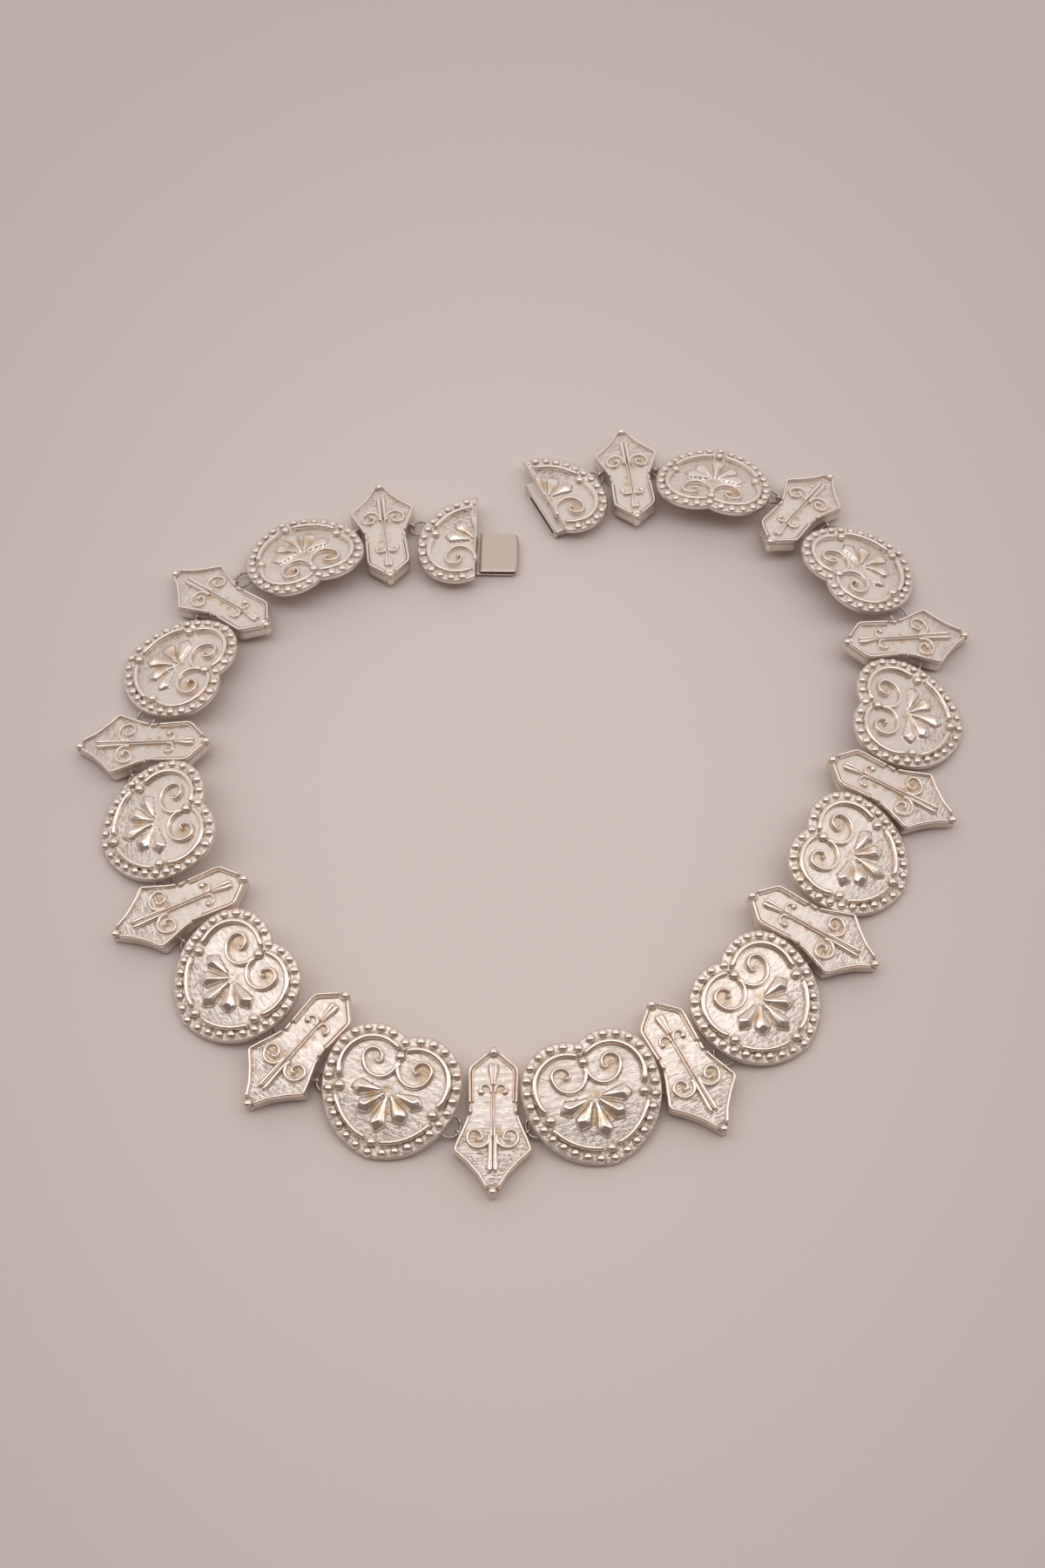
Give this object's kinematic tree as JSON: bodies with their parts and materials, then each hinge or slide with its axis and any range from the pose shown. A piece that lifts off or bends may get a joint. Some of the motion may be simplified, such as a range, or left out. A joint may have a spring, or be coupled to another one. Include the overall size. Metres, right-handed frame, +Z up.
{
  "type": "panel necklace",
  "caption": "Satin silver panel necklace of hearts and shields with cast classical relief, joined by jump rings, its box clasp undone.",
  "frame": {"origin": "on the surface the necklace lies on, under the middle of its whole box", "axes": "+Z up, +X to the right as the wearer's front panel points to -Y, +Y towards the clasp"},
  "size_m": [0.1741, 0.169, 0.0084],
  "materials": {
    "silver": "satin cast silver, lightly tarnished in its recesses",
    "ring_silver": "drawn silver wire"
  },
  "bodies": {
    "root": {"shield_front": "silver", "heart_right_1": "silver", "shield_right_1": "silver", "heart_right_2": "silver", "shield_right_2": "silver", "heart_right_3": "silver", "shield_right_3": "silver", "heart_right_4": "silver", "shield_right_4": "silver", "heart_right_5": "silver", "shield_right_5": "silver", "heart_right_6": "silver", "shield_right_6": "silver", "clasp_half_box": "silver", "clasp_half_tongue": "silver", "shield_left_5": "silver", "heart_left_5": "silver", "shield_left_4": "silver", "heart_left_4": "silver", "shield_left_3": "silver", "heart_left_3": "silver", "shield_left_2": "silver", "heart_left_2": "silver", "shield_left_1": "silver", "heart_left_1": "silver", "link_1": "ring_silver", "link_2": "ring_silver", "link_3": "ring_silver", "link_4": "ring_silver", "link_5": "ring_silver", "link_6": "ring_silver", "link_7": "ring_silver", "link_8": "ring_silver", "link_9": "ring_silver", "link_10": "ring_silver", "link_11": "ring_silver", "link_12": "ring_silver", "link_13": "ring_silver", "link_14": "ring_silver", "link_15": "ring_silver", "link_16": "ring_silver", "link_17": "ring_silver", "link_18": "ring_silver", "link_19": "ring_silver", "link_20": "ring_silver", "link_21": "ring_silver", "link_22": "ring_silver", "link_23": "ring_silver", "link_24": "ring_silver"}
  },
  "joints": []
}
